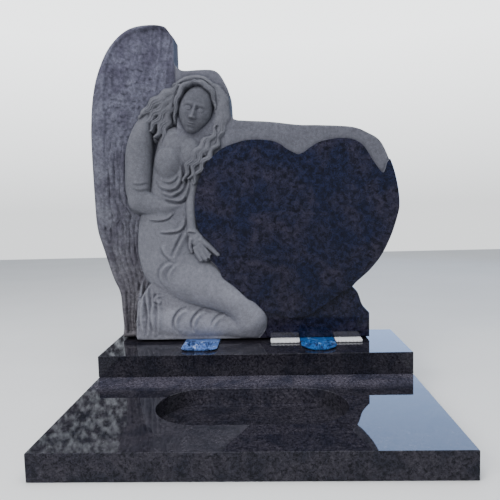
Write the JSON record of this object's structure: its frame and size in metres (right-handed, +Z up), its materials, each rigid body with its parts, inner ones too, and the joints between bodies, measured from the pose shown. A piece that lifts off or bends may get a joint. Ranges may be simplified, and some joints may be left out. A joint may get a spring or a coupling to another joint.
{
  "type": "headstone",
  "caption": "Heart-shaped granite headstone with a carved kneeling angel, standing on a plinth and a polished base slab with an oval flower recess",
  "frame": {"origin": "Middle of the base slab's underside, at ground level", "axes": "+Z up, +X to the right of someone facing the memorial, front face towards -Y"},
  "size_m": [0.9695, 0.723, 1.1264],
  "materials": {
    "polished_granite": "mirror-polished dark blue-black granite",
    "carved_granite": "frosted carved granite, with the heart face and foot mirror-polished",
    "pale_pad": "pale blue packing film",
    "deep_pad": "deep blue packing film",
    "white_foam": "white packing foam"
  },
  "bodies": {
    "root": {"base_slab": "polished_granite", "plinth": "polished_granite", "packing_pad_left": "pale_pad", "packing_pad_right": "deep_pad", "foam_strip_left": "white_foam", "foam_strip_right": "white_foam", "headstone": "carved_granite"}
  },
  "joints": []
}
